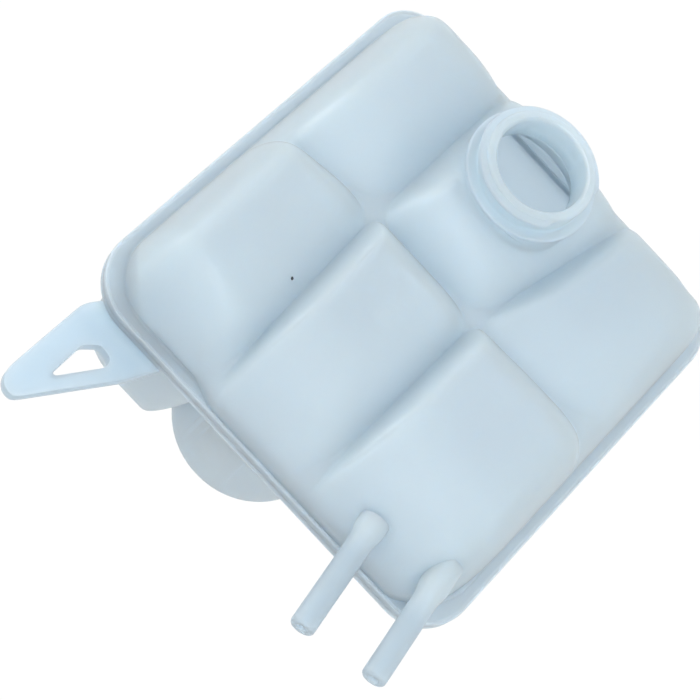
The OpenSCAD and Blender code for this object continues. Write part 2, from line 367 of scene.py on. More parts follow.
    def _rounded(self, x: np.ndarray, y: np.ndarray, inset: float) -> tuple[np.ndarray, np.ndarray]:
        """Moves the points of the square corner patches into the rounded corners.

        Args:
            x: X of the points.
            y: Y of the points.
            inset: Wall thickness by which the outline is moved inwards.

        Returns:
            X and Y of the moved points.
        """
        foot_x = self.plan.foot_x - inset
        foot_y = self.plan.foot_y - inset
        radius = self.plan.foot_radius - inset
        p = (np.abs(x) - foot_x + radius) / radius
        q = (np.abs(y) - foot_y + radius) / radius
        corner = (p > 0) & (q > 0)
        p = np.clip(p, 0.0, 1.0)
        q = np.clip(q, 0.0, 1.0)
        round_x = np.sign(x) * (foot_x - radius + radius * p * np.sqrt(1.0 - q * q / 2.0))
        round_y = np.sign(y) * (foot_y - radius + radius * q * np.sqrt(1.0 - p * p / 2.0))
        return np.where(corner, round_x, x), np.where(corner, round_y, y)

    def apron_at(self, x: np.ndarray, y: np.ndarray) -> np.ndarray:
        """How far the front wall reaches out towards the weld bead."""
        left, right = self.apron_span
        left_end = ease((x - left) / self.apron_ends)
        right_end = ease((right - x) / self.apron_ends)
        return self.apron * left_end * right_end * ease((self.apron_back - y) / self.apron_reach)

    def surface_z(self, x: float, y: float) -> float:
        """Height of the outside over the weld plane at one point of the plan."""
        at_y = y + float(self.apron_at(np.array([x]), np.array([y]))[0])
        rise = self.height(np.array([float(x)]), np.array([at_y]), 0.0)[0]
        return self.side.value * (self.plan.root_height + float(rise))

    def sheet(self, inset: float) -> np.ndarray:
        """Points of one skin of the shell.

        Args:
            inset: 0 for the outside, the wall thickness for the inside.

        Returns:
            An array of rows by columns by 3, in millimetres.
        """
        plan = self.plan
        foot_x = plan.foot_x - inset
        foot_y = plan.foot_y - inset
        rows = np.concatenate(
            (
                stations(-foot_y, plan.row_crease, self.rows[0]),
                stations(plan.row_crease, foot_y, self.rows[1]),
                [foot_y],
            )
        )
        lines = []
        for y in rows:
            left = float(plan.left_crease_at(y + plan.bow_at(plan.left_crease_at(y), y)))
            right = float(plan.right_crease_at(y + plan.bow_at(plan.right_crease_at(y), y)))
            lines.append(
                np.concatenate(
                    (
                        stations(-foot_x, left, self.columns[0]),
                        stations(left, right, self.columns[1]),
                        stations(right, foot_x, self.columns[2]),
                        [foot_x],
                    )
                )
            )
        x = np.array(lines)
        y = np.repeat(rows[:, None], x.shape[1], axis=1)
        y = y + plan.bow_at(x, y)
        x, y = self._rounded(x, y, inset)
        z = self.side.value * (plan.root_height + self.height(x, y, inset))
        return np.stack((x, y - self.apron_at(x, y), z), axis=-1)


@dataclass
class Moulding:
    """Points and faces of one closed solid, in millimetres."""

    points: np.ndarray
    faces: list[tuple[int, ...]]

    @classmethod
    def from_sheets(cls, outer: np.ndarray, inner: np.ndarray, side: Side) -> "Moulding":
        """Closes the space between two skins of the same layout.

        Args:
            outer: Rows of points of the outside.
            inner: Rows of points of the inside.
            side: Which way the shell bulges.

        Returns:
            The closed wall.
        """
        rows, columns = outer.shape[:2]
        count = rows * columns
        index = np.arange(count).reshape(rows, columns)
        a, b = index[:-1, :-1].ravel(), index[:-1, 1:].ravel()
        c, d = index[1:, 1:].ravel(), index[1:, :-1].ravel()
        top = np.stack((a, b, c, d), axis=1)
        bottom = np.stack((d, c, b, a), axis=1) + count
        rim = np.concatenate((index[0, :-1], index[:-1, -1], index[-1, :0:-1], index[:0:-1, 0]))
        after = np.roll(rim, -1)
        lip = np.stack((rim, rim + count, after + count, after), axis=1)
        faces = np.concatenate((top, bottom, lip))
        if side is Side.DOWN:
            faces = faces[:, ::-1]
        points = np.concatenate((outer.reshape(-1, 3), inner.reshape(-1, 3)))
        return cls(points, [tuple(int(i) for i in face) for face in faces])

    @classmethod
    def from_loops(cls, loops: list[np.ndarray]) -> "Moulding":
        """Joins closed loops into a ring whose last loop meets its first.

        Args:
            loops: Loops of equally many points, in the order of the section's outline.

        Returns:
            The closed ring.
        """
        count = len(loops[0])
        faces = []
        for row in range(len(loops)):
            here = row * count
            there = (row + 1) % len(loops) * count
            for k in range(count):
                after = (k + 1) % count
                faces.append((here + k, here + after, there + after, there + k))
        return cls(np.concatenate(loops), faces)

    @classmethod
    def from_profile(cls, profile: list[tuple[float, float]], sides: int = 96) -> "Moulding":
        """Turns a profile about the Z axis.

        Args:
            profile: Radius and height pairs from the bottom to the top. The first and the
                last lie on the axis.
            sides: Number of steps round the axis.

        Returns:
            The closed solid.
        """
        turn = np.arange(sides) * 2.0 * np.pi / sides
        points = [np.array([[0.0, 0.0, profile[0][1]]])]
        for radius, height in profile[1:-1]:
            ring = (radius * np.cos(turn), radius * np.sin(turn), np.full(sides, height))
            points.append(np.stack(ring, axis=1))
        points.append(np.array([[0.0, 0.0, profile[-1][1]]]))
        faces: list[tuple[int, ...]] = []
        rings = len(profile) - 2
        last = 1 + rings * sides
        for k in range(sides):
            after = (k + 1) % sides
            faces.append((0, 1 + after, 1 + k))
            for ring in range(rings - 1):
                here = 1 + ring * sides
                faces.append((here + k, here + after, here + sides + after, here + sides + k))
            top = 1 + (rings - 1) * sides
            faces.append((top + k, top + after, last))
        return cls(np.concatenate(points), faces)

    @classmethod
    def from_sections(cls, sections: list[np.ndarray]) -> "Moulding":
        """Joins open-ended sections into a bar with a cap at each end.

        Args:
            sections: Closed sections of equally many points along the bar.

        Returns:
            The closed bar.
        """
        count = len(sections[0])
        faces: list[tuple[int, ...]] = [tuple(range(count))]
        for row in range(len(sections) - 1):
            for k in range(count):
                after = (k + 1) % count
                here = row * count
                faces.append((here + k, here + count + k, here + count + after, here + after))
        end = (len(sections) - 1) * count
        faces.append(tuple(end + k for k in reversed(range(count))))
        return cls(np.concatenate(sections), faces)

    def moved(self, place: Matrix) -> "Moulding":
        """The same solid in another place."""
        turn = np.array(place.to_3x3())
        return Moulding(self.points @ turn.T + np.array(place.translation), self.faces)

    def to_object(self, name: str, plan: TankPlan) -> bpy.types.Object:
        """Makes a Blender object of the solid in the row frame.

        Args:
            name: Name of the object and its mesh.
            plan: Plan that holds the lug's eye.

        Returns:
            The linked object.
        """
        mesh = bpy.data.meshes.new(name)
        mesh.from_pydata(plan.to_frame(self.points).tolist(), [], self.faces)
        mesh.validate()
        mesh.update()
        made = bpy.data.objects.new(name, mesh)
        bpy.context.scene.collection.objects.link(made)
        return made


def rounded_outline(
    width: float, length: float, radii: tuple[float, ...], arc_steps: int = 18
) -> np.ndarray:
    """Rounded rectangle about the origin, anticlockwise from the front left corner.

    Args:
        width: Size along X.
        length: Size along Y.
        radii: Corner radii from the front left corner on.
        arc_steps: Steps in each corner.

    Returns:
        The outline's points in the plane.
    """
    points = []
    for corner, (sx, sy) in enumerate(((-1, -1), (1, -1), (1, 1), (-1, 1))):
        start = -np.pi + corner * np.pi / 2.0
        radius = radii[corner]
        for step in range(arc_steps + 1):
            turn = start + step / arc_steps * np.pi / 2.0
            x = sx * (width / 2.0 - radius) + radius * math.cos(turn)
            y = sy * (length / 2.0 - radius) + radius * math.sin(turn)
            points.append((x, y))
    return np.array(points)


def round_off(
    points: list[tuple[float, float]], radii: list[float], steps: int = 5
) -> list[tuple[float, float]]:
    """Rounds the inner corners of an open profile.

    Args:
        points: Corners of the profile.
        radii: How far each corner's rounding reaches along its sides, 0 for sharp.
        steps: Steps in each rounding.

    Returns:
        The rounded profile.
    """
    most = 0.48
    made: list[tuple[float, float]] = []
    for k, point in enumerate(points):
        if k in (0, len(points) - 1) or radii[k] == 0:
            made.append(point)
            continue
        here = Vector(point)
        before, after = Vector(points[k - 1]), Vector(points[k + 1])
        back = min(radii[k], (before - here).length * most)
        ahead = min(radii[k], (after - here).length * most)
        start = here + (before - here).normalized() * back
        end = here + (after - here).normalized() * ahead
        for step in range(steps + 1):
            spot = bend(start, here, end, step / steps)
            made.append((spot.x, spot.y))
    return made


def flange_ring(plan: TankPlan, side: Side) -> Moulding:
    """Flat weld flange with its half of the bead and a small fillet at the wall's foot.

    Args:
        plan: Shared outline sizes.
        side: Which half shell it belongs to.

    Returns:
        The closed ring.
    """
    thick = plan.flange_thickness
    bead = thick + plan.bead_height
    outer = plan.flange_radii
    foot = (plan.foot_radius,) * 4
    inner = plan.foot_step + plan.wall + plan.weld_lip
    fillet = 1.2
    # Each corner of the section: inset, corner radii, change of the radii, height.
    section = (
        (inner, foot, -plan.wall - plan.weld_lip, 0.0),
        (0.15, outer, -0.15, 0.0),
        (0.0, outer, 0.0, 0.25),
        (0.0, outer, 0.0, bead - 0.7),
        (0.2, outer, -0.2, bead - 0.2),
        (0.75, outer, -0.7, bead),
        (1.3, outer, -1.2, bead - 0.25),
        (1.8, outer, -1.6, thick),
        (plan.foot_step - 1.3, foot, 0.6, thick),
        (plan.foot_step - 0.5, foot, 0.3, thick + 0.3),
        (plan.foot_step + 0.1, foot, 0.0, thick + fillet),
        (plan.foot_step + fillet, foot, -fillet, thick + fillet),
        (inner, foot, -plan.wall - plan.weld_lip, thick),
    )
    loops = []
    for inset, radii, grow, height in section:
        flat = rounded_outline(
            plan.flange_width - 2.0 * inset,
            plan.flange_length - 2.0 * inset,
            tuple(radius + grow for radius in radii),
        )
        level = np.full((len(flat), 1), side.value * height)
        loops.append(np.hstack((flat, level)))
    ring = Moulding.from_loops(loops)
    if side is Side.DOWN:
        ring.faces = [tuple(reversed(face)) for face in ring.faces]
    return ring


def base_fillet(
    sheet: CushionSheet, centre: tuple[float, float], radius: float, reach: float, sides: int = 120
) -> Moulding:
    """Fillet between an upright round wall and the cushion that it stands on.

    Args:
        sheet: Surface that the wall stands on.
        centre: Axis of the wall in the plan.
        radius: Radius of the wall.
        reach: Size of the fillet.
        sides: Steps round the wall.

    Returns:
        The closed ring.
    """
    sign = sheet.side.value
    steps = 7
    under_cushion = 1.5
    under_wall = 1.8
    into_wall = 1.2
    loops: list[list[tuple[float, float, float]]] = [[] for _ in range(steps + 4)]
    for k in range(sides):
        turn = 2.0 * math.pi * k / sides
        way = (math.cos(turn), math.sin(turn))

        def spot(r: float, z: float, way: tuple[float, float] = way) -> tuple[float, float, float]:
            """Point at a radius and height on this spoke."""
            return (centre[0] + r * way[0], centre[1] + r * way[1], z)

        def ground(r: float, way: tuple[float, float] = way) -> float:
            """Height of the cushion at a radius on this spoke."""
            return sheet.surface_z(centre[0] + r * way[0], centre[1] + r * way[1])

        at_wall = ground(radius)
        far = ground(radius + reach)
        crest = at_wall + sign * reach
        for step in range(steps + 1):
            t = step / steps
            r = bend(radius, radius, radius + reach, t)
            loops[step].append(spot(r, bend(crest, at_wall, far, t)))
        loops[steps + 1].append(spot(radius + reach, far - sign * under_cushion))
        loops[steps + 2].append(spot(radius - into_wall, at_wall - sign * under_wall))
        loops[steps + 3].append(spot(radius - into_wall, crest))
    ring = Moulding.from_loops([np.array(loop) for loop in loops])
    if sign > 0:
        ring.faces = [tuple(reversed(face)) for face in ring.faces]
    return ring


@dataclass
class HalfShell:
    """What the two half shells have in common."""

    plan: TankPlan
    sheet: CushionSheet
    node: CadNode
    name: str
    smooth_angle: float = math.radians(32.0)
    grown: list[Moulding] = field(default_factory=list)
    tools: list[tuple[Carve, Moulding]] = field(default_factory=list)

    def wall(self) -> Moulding:
        """The moulded wall between its outside and its inside."""
        return Moulding.from_sheets(
            self.sheet.sheet(0.0), self.sheet.sheet(self.plan.wall), self.sheet.side
        )

    def room(self) -> Moulding:
        """What is hollow inside this half, up to the middle of its wall."""
        lid = self.sheet.sheet(self.plan.wall / 2.0)
        ground = lid.copy()
        ground[..., 2] = self.sheet.side.value * self.plan.root_height / 2.0
        return Moulding.from_sheets(lid, ground, self.sheet.side)

    def grow(self, solid: Moulding) -> None:
        """Keeps a solid that grows out of the wall and ends inside it."""
        self.grown.append(solid)

    def add(self, solid: Moulding) -> None:
        """Keeps a solid that is joined whole."""
        self.tools.append((Carve.ADD, solid))

    def cut(self, solid: Moulding) -> None:
        """Keeps a solid that is cut from the wall."""
        self.tools.append((Carve.CUT, solid))

    def shape(self) -> None:
        """Adds what grows out of this half shell. Each half has its own."""

    def _steps(self) -> list[tuple[Carve, Moulding]]:
        """What is joined to the first grown solid and cut from it, in order.

        The grown solids are cut back to the middle of the wall first. The wall and the flange
        join them, and what is hollow comes last.

        Returns:
            Each solid with what it does.
        """
        self.add(self.wall())
        self.add(flange_ring(self.plan, self.sheet.side))
        self.shape()
        self.tools.sort(key=lambda tool: tool[0] is Carve.CUT)
        steps = [(Carve.ADD, solid) for solid in self.grown[1:]]
        return steps + [(Carve.CUT, self.room())] + self.tools

    def _moulded(self) -> bpy.types.Object:
        """Joins and cuts the solids into one mesh.

        Returns:
            The half shell, without its finish.
        """
        steps = self._steps()
        piece = self.grown[0].to_object(self.name, self.plan)
        helpers = []
        for number, (carve, solid) in enumerate(steps):
            helper = solid.to_object(f"{self.name}_tool_{number}", self.plan)
            helpers.append(helper)
            step = piece.modifiers.new(f"tool_{number}", "BOOLEAN")
            step.operation = carve.value
            step.solver = "MANIFOLD"
            step.object = helper
        seen = bpy.context.evaluated_depsgraph_get()
        mesh = bpy.data.meshes.new_from_object(piece.evaluated_get(seen))
        piece.modifiers.clear()
        rough = piece.data
        piece.data = mesh
        bpy.data.meshes.remove(rough)
        for helper in helpers:
            block = helper.data
            bpy.data.objects.remove(helper)
            bpy.data.meshes.remove(block)
        return piece

    def build(self, finish: "MilkyPlastic") -> bpy.types.Object:
        """Moulds the half shell as one mesh and dresses it.

        Args:
            finish: The plastic.

        Returns:
            The finished piece, which stands for its CAD node.
        """
        piece = self._moulded()
        mesh = piece.data
        mesh.name = self.name
        mesh.shade_smooth()
        mesh.set_sharp_from_angle(angle=self.smooth_angle)
        mesh.materials.clear()
        mesh.materials.append(finish.material())
        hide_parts(self.node.value)
        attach(piece, ROOT_BODY)
        LOG.info("%s: %d faces", self.name, len(mesh.polygons))
        return piece


@dataclass
class FillerNeck:
    """Threaded neck that the cap screws on."""

    x: float = -7.4
    y: float = 53.0
    bore: float = 40.0
    outside: float = 49.0
    collar: float = 58.8
    collar_thick: float = 2.4
    collar_top: float = 50.0
    mouth: float = 60.0
    mouth_flare: float = 1.4
    root: float = 31.0
    root_radius: float = 28.5
    shoulder: float = 2.5
    throat_below: float = 7.0
    throat_above: float = 3.0
    throat_taper: float = 1.0
    fillet_radius: float = 27.6
    fillet_reach: float = 4.0
    thread: float = 55.0
    thread_sink: float = 1.2
    thread_drop: float = 1.6
    thread_section: tuple[tuple[float, float], ...] = (
        (0.0, -1.6),
        (0.6, -1.2),
        (0.9, -0.7),
        (1.0, 0.0),
        (0.9, 0.6),
        (0.6, 1.0),
        (0.0, 1.35),
    )
    thread_end_height: float = 0.3
    thread_end_share: float = 0.05
    pitch: float = 3.0
    thread_start: float = 325.0
    thread_turns: float = 0.85
    sides: int = 144

    @property
    def collar_under(self) -> float:
        """Height of the collar's underside."""
        return self.collar_top - self.collar_thick

    def place(self) -> Matrix:
        """Where the neck's axis stands."""
        return Matrix.Translation((self.x, self.y, 0.0))

    def body(self) -> Moulding:
        """Outside of the neck with its collar.

        Returns:
            The closed solid, from its root inside the cushion to its mouth.
        """
        wall = self.outside / 2.0
        collar = self.collar / 2.0
        profile = round_off(
            [
                (0.0, self.root),
                (self.root_radius, self.root),
                (wall + self.shoulder, self.collar_under),
                (collar, self.collar_under),
                (collar, self.collar_top),
                (wall, self.collar_top),
                (wall, self.mouth),
                (0.0, self.mouth),
            ],
            [0.0, 0.0, 1.2, 1.0, 1.0, 1.3, 1.7, 0.0],
        )
        return Moulding.from_profile(profile, self.sides).moved(self.place())

    def bore_solid(self, wall: float) -> Moulding:
        """The hollow of the neck, widening into the tank.

        Args:
            wall: Thickness of the neck's root.

        Returns:
            The closed solid that is cut from the neck.
        """
        half = self.bore / 2.0
        start = self.root - SPARE
        profile = round_off(
            [
                (0.0, start),
                (self.root_radius - wall, start),
                (self.root_radius - wall - self.throat_taper, self.collar_under - self.throat_below),
                (half, self.collar_under - self.throat_above),
                (half, self.mouth - self.mouth_flare + CUT_PAST),
                (half + self.mouth_flare, self.mouth + CUT_PAST),
                (0.0, self.mouth + CUT_PAST),
            ],
            [0.0, 0.0, 1.5, 1.5, 1.0, 0.0, 0.0],
        )
        return Moulding.from_profile(profile, self.sides).moved(self.place())

    def thread_ridge(self, steps: int = 150) -> Moulding:
        """Coarse outside thread that fades in and out.

        Args:
            steps: Steps along the ridge.

        Returns:
            The closed ridge, sunk into the neck's wall.
        """
        root = self.outside / 2.0 - self.thread_sink
        crest = self.thread / 2.0
        top = self.mouth - self.thread_drop
        low_end = self.thread_end_height
        sections = []
        for k in range(steps + 1):
            turn = self.thread_turns * k / steps
            angle = math.radians(self.thread_start - 360.0 * turn)
            run_in = float(ease(min(k, steps - k) / (steps * self.thread_end_share)))
            fade = low_end + (1.0 - low_end) * run_in
            height = top - self.pitch * turn
            section = []
            for out, up in self.thread_section:
                radius = root + (crest - root) * fade * out
                section.append((radius * math.cos(angle), radius * math.sin(angle), height + up))
            sections.append(np.array(section))
        sections.reverse()
        return Moulding.from_sections(sections).moved(self.place())


@dataclass
class VentNipple:
    """Small hose nipple that stands out of the front wall."""

    x: float
    y: float
    root: float
    base: float
    length: float
    height: float = 20.0
    yaw: float = 8.5
    outside: float = 10.4
    bore: float = 4.5
    base_swell: float = 1.2
    base_taper: float = 5.0
    mouth_flare: float = 0.7
    flare_depth: float = 0.6

    def place(self) -> Matrix:
        """Turns the nipple's axis from straight up to straight out of the front."""
        return (
            Matrix.Translation((self.x, self.y, self.height))
            @ Matrix.Rotation(math.radians(self.yaw), 4, "Z")
            @ Matrix.Rotation(math.radians(90.0), 4, "X")
        )

    def body(self) -> Moulding:
        """Outside of the nipple with its wider base and rounded tip.

        Returns:
            The closed solid, from its root inside the cushion to its tip.
        """
        half = self.outside / 2.0
        profile = round_off(
            [
                (0.0, -self.root),
                (half + self.base_swell, -self.root),
                (half + self.base_swell, self.base - self.base_taper),
                (half, self.base),
                (half, self.length),
                (0.0, self.length),
            ],
            [0.0, 0.0, 2.0, 2.0, 1.9, 0.0],
        )
        return Moulding.from_profile(profile, 64).moved(self.place())

    def bore_solid(self) -> Moulding:
        """The nipple's bore.

        Returns:
            The closed solid that is cut from the nipple.
        """
        half = self.bore / 2.0
        profile = [
            (0.0, -self.root - SPARE),
            (half, -self.root - SPARE),
            (half, self.length - self.flare_depth),
            (half + self.mouth_flare, self.length + CUT_PAST),
            (0.0, self.length + CUT_PAST),
        ]
        return Moulding.from_profile(profile, 48).moved(self.place())


@dataclass
class UpperShell(HalfShell):
    """Upper half with the filler neck and two vent nipples."""

    neck: FillerNeck = field(default_factory=FillerNeck)
    nipples: tuple[VentNipple, ...] = (
        VentNipple(x=48.7, y=-97.0, root=4.0, base=6.0, length=50.5),
        VentNipple(x=81.4, y=-88.0, root=6.0, base=12.0, length=52.5),
    )

    def shape(self) -> None:
        """Neck, thread, fillet, nipples and their bores."""
        neck = self.neck
        self.grow(neck.body())
        self.add(neck.thread_ridge())
        self.add(base_fillet(self.sheet, (neck.x, neck.y), neck.fillet_radius, neck.fillet_reach))
        for nipple in self.nipples:
            self.grow(nipple.body())
        self.cut(neck.bore_solid(self.plan.wall))
        for nipple in self.nipples:
            self.cut(nipple.bore_solid())


@dataclass
class Sump:
    """Round sump with the bottom outlet, below the front of the tank."""

    x: float = -11.3
    y: float = -54.0
    outside: float = 73.0
    depth: float = 80.0
    cover: float = 20.0
    edge_round: float = 7.8
    inner_round: float = 5.4
    outlet_outside: float = 20.0
    outlet_bore: float = 15.0
    outlet_length: float = 22.0
    outlet_chamfer: float = 1.2
    outlet_chamfer_height: float = 2.0
    outlet_foot: float = 2.0
    outlet_bore_depth: float = 9.0
    sides: int = 144
    outlet_sides: int = 72

    def _at_axis(self, solid: Moulding) -> Moulding:
        """Moves a solid to the sump's axis."""
        return solid.moved(Matrix.Translation((self.x, self.y, 0.0)))

    def body(self) -> Moulding:
        """Outside of the sump.

        Returns:
            The closed solid, from its floor up into the chambers' walls.
        """
        half = self.outside / 2.0
        profile = round_off(
            [(0.0, -self.depth), (half, -self.depth), (half, -self.cover), (0.0, -self.cover)],
            [0.0, self.edge_round, 0.0, 0.0],
            10,
        )
        return self._at_axis(Moulding.from_profile(profile, self.sides))

    def hollow(self, wall: float) -> Moulding:
        """Inside of the sump.

        Args:
            wall: Thickness of the sump's wall and floor.

        Returns:
            The closed solid that is cut from the sump.
        """
        half = self.outside / 2.0 - wall
        floor = wall - self.depth
        lid = SPARE - self.cover
        profile = round_off(
            [(0.0, floor), (half, floor), (half, lid), (0.0, lid)],
            [0.0, self.inner_round, 0.0, 0.0],
            8,
        )
        return self._at_axis(Moulding.from_profile(profile, self.sides))

    def outlet(self) -> Moulding:
        """Outside of the bottom outlet.

        Returns:
            The closed solid, from its tip up into the sump's floor.
        """
        half = self.outlet_outside / 2.0
        tip = -self.depth - self.outlet_length
        foot = half + self.outlet_foot
        profile = round_off(
            [
                (0.0, tip),
                (half - self.outlet_chamfer, tip),
                (half, tip + self.outlet_chamfer_height),
                (half, -self.depth - self.outlet_foot),
                (foot, -self.depth),
                (foot, -self.depth + SPARE),
                (0.0, -self.depth + SPARE),
            ],
            [0.0, 0.8, 1.5, 1.5, 0.0, 0.0, 0.0],
        )
        return self._at_axis(Moulding.from_profile(profile, self.outlet_sides))

    def outlet_hollow(self) -> Moulding:
        """Bore of the bottom outlet."""
        half = self.outlet_bore / 2.0
        tip = -self.depth - self.outlet_length - SPARE
        top = -self.depth + self.outlet_bore_depth
        profile = [(0.0, tip), (half, tip), (half, top), (0.0, top)]
        return self._at_axis(Moulding.from_profile(profile, self.outlet_sides))


@dataclass
class MountingLug:
    """Flat lug whose two arms meet round an open window."""

    top: float = -3.5
    thick: float = 6.0
    outline: tuple[tuple[float, float], ...] = (
        (-77.6, -96.8),
        (-69.5, -98.2),
        (-50.0, -98.3),
        (-57.8, -117.4),
        (-60.1, -121.4),
        (-81.5, -157.0),
        (-84.6, -157.8),
        (-88.0, -156.8),
        (-90.7, -153.8),
        (-91.8, -149.0),
        (-91.6, -109.5),
        (-89.9, -105.4),
        (-87.4, -101.6),
        (-83.1, -93.9),
    )
    window: tuple[tuple[float, float], ...] = (
        (-78.4, -138.8),
        (-78.8, -121.6),
        (-74.3, -116.4),
        (-68.4, -117.3),
        (-67.6, -120.5),
    )
    edge_round: float = 0.9
    corner_turn: float = 3.5
    window_turn: float = 1.6
    window_spare: float = 2.0
    window_grow: float = 0.8
    corner_steps: int = 6

    def _slab(
        self,
        corners: tuple[tuple[float, float], ...],
        turn: float,
        spare: float = 0.0,
        grow: float = 0.0,
    ) -> Moulding:
        """Upright slab over a plan outline with rounded corners and edges.

        Args:
            corners: Corners of the outline, clockwise seen from above.
            turn: How far the rounding of each corner reaches.
            spare: How far the slab runs past the lug's faces.
            grow: Outward step of the rims, for flared window edges.

        Returns:
            The closed slab.
        """
        flat: list[tuple[float, float]] = []
        count = len(corners)
        for k in range(count):
            three = [corners[k - 1], corners[k], corners[(k + 1) % count]]
            flat.extend(round_off(three, [0.0, turn, 0.0], self.corner_steps)[1:-1])
        ring = np.array(flat)
        ahead = np.roll(ring, -1, axis=0) - np.roll(ring, 1, axis=0)
        out = np.stack((-ahead[:, 1], ahead[:, 0]), axis=1)
        out /= np.linalg.norm(out, axis=1, keepdims=True)
        low = self.top - self.thick - spare
        high = self.top + spare
        soft = self.edge_round
        knee = soft * 0.3
        levels = (
            (grow - soft, low),
            (grow - knee, low + knee),
            (grow, low + soft),
            (grow, high - soft),
            (grow - knee, high - knee),
            (grow - soft, high),
        )
        sections = []
        for step, height in levels:
            moved = ring + out * step
            sections.append(np.hstack((moved, np.full((len(ring), 1), height))))
        return Moulding.from_sections(sections)

    def plate(self) -> Moulding:
        """The lug's plate."""
        return self._slab(self.outline, self.corner_turn)

    def opening(self) -> Moulding:
        """The lug's window."""
        return self._slab(self.window, self.window_turn, self.window_spare, self.window_grow)


@dataclass
class LowerShell(HalfShell):
    """Lower half with the sump, the bottom outlet and the mounting lug."""

    sump: Sump = field(default_factory=Sump)
    lug: MountingLug = field(default_factory=MountingLug)

    def shape(self) -> None:
        """Sump, outlet and lug, and what is hollow in them."""
        self.grow(self.sump.body())
        self.grow(self.lug.plate())
        self.add(self.sump.outlet())
        self.cut(self.sump.hollow(self.plan.wall))
        self.cut(self.sump.outlet_hollow())
        self.cut(self.lug.opening())


class SurfaceGroup:
    """Shader node group that is built once and placed in each material that uses it."""

    name: str
    inlets: tuple[tuple[str, str, float | tuple[float, ...]], ...]
    outlets: tuple[tuple[str, str], ...]

    @classmethod
    def group(cls) -> bpy.types.NodeTree:
        """Builds the group once and gives it again after that.

        Returns:
            The node group, with the sockets that the class names.
        """
        found = bpy.data.node_groups.get(cls.name)
        if found:
            return found
        tree = bpy.data.node_groups.new(cls.name, "ShaderNodeTree")
        for label, kind, value in cls.inlets:
            socket = tree.interface.new_socket(name=label, in_out="INPUT", socket_type=kind)
            socket.default_value = value
        for label, kind in cls.outlets:
            tree.interface.new_socket(name=label, in_out="OUTPUT", socket_type=kind)
        cls.wire(tree, tree.nodes.new("NodeGroupInput"), tree.nodes.new("NodeGroupOutput"))
        return tree

    @classmethod
    def wire(cls, tree: bpy.types.NodeTree, inlet: bpy.types.Node, outlet: bpy.types.Node) -> None:
        """Fills the group with its nodes. Each group has its own.

        Args:
            tree: The group's node tree.
            inlet: Node that holds the group's inputs.
            outlet: Node that takes the group's outputs.
        """

    @classmethod
    def place(
        cls, material: bpy.types.Material, values: dict[str, float | tuple[float, ...]]
    ) -> bpy.types.Node:
        """Puts the group into a material.

        Args:
            material: The material, which uses nodes.
            values: Values of the group's inputs, by the input's name.

        Returns:
            The group's node.
        """
        node = material.node_tree.nodes.new("ShaderNodeGroup")
        node.node_tree = cls.group()
        for label, value in values.items():
            node.inputs[label].default_value = value
        return node


class MouldedSkin(SurfaceGroup):
    """Faint orange peel and milky clouding."""

    name = "moulded_skin"
    inlets = (
        ("Plastic", "NodeSocketColor", (0.6, 0.7, 0.8, 1.0)),
        ("Cloud", "NodeSocketColor", (0.7, 0.8, 0.9, 1.0)),
        ("Cloud Scale", "NodeSocketFloat", 18.0),
        ("Cloud Amount", "NodeSocketFloat", 0.3),
        ("Roughness", "NodeSocketFloat", 0.35),
        ("Peel Scale", "NodeSocketFloat", 900.0),
    )
    outlets = (
        ("Color", "NodeSocketColor"),
        ("Roughness", "NodeSocketFloat"),
        ("Height", "NodeSocketFloat"),
    )
    noise_span = (0.3, 0.7)
    gloss_sway = 0.04

    @classmethod
    def wire(cls, tree: bpy.types.NodeTree, inlet: bpy.types.Node, outlet: bpy.types.Node) -> None:
        """Clouds change the colour and the gloss, and peel gives the height.

        Args:
            tree: The group's node tree.
            inlet: Node that holds the group's inputs.
            outlet: Node that takes the group's outputs.
        """
        nodes, links = tree.nodes, tree.links
        place = nodes.new("ShaderNodeTexCoord")
        cloud = nodes.new("ShaderNodeTexNoise")
        cloud.inputs["Detail"].default_value = 3.0
        peel = nodes.new("ShaderNodeTexNoise")
        peel.inputs["Detail"].default_value = 2.0
        amount = nodes.new("ShaderNodeMath")
        amount.operation = "MULTIPLY"
        tint = nodes.new("ShaderNodeMix")
        tint.data_type = "RGBA"
        gloss = nodes.new("ShaderNodeMapRange")
        gloss.inputs["From Min"].default_value = cls.noise_span[0]
        gloss.inputs["From Max"].default_value = cls.noise_span[1]
        gloss.inputs["To Min"].default_value = -cls.gloss_sway
        gloss.inputs["To Max"].default_value = cls.gloss_sway
        total = nodes.new("ShaderNodeMath")
        total.operation = "ADD"
        links.new(place.outputs["Object"], cloud.inputs["Vector"])
        links.new(place.outputs["Object"], peel.inputs["Vector"])
        links.new(inlet.outputs["Cloud Scale"], cloud.inputs["Scale"])
        links.new(inlet.outputs["Peel Scale"], peel.inputs["Scale"])
        links.new(cloud.outputs["Fac"], amount.inputs[0])
        links.new(inlet.outputs["Cloud Amount"], amount.inputs[1])
        links.new(amount.outputs[0], tint.inputs["Factor"])
        links.new(inlet.outputs["Plastic"], tint.inputs[6])
        links.new(inlet.outputs["Cloud"], tint.inputs[7])
        links.new(tint.outputs[2], outlet.inputs["Color"])
        links.new(cloud.outputs["Fac"], gloss.inputs["Value"])
        links.new(gloss.outputs["Result"], total.inputs[0])
        links.new(inlet.outputs["Roughness"], total.inputs[1])
        links.new(total.outputs[0], outlet.inputs["Roughness"])
        links.new(peel.outputs["Fac"], outlet.inputs["Height"])


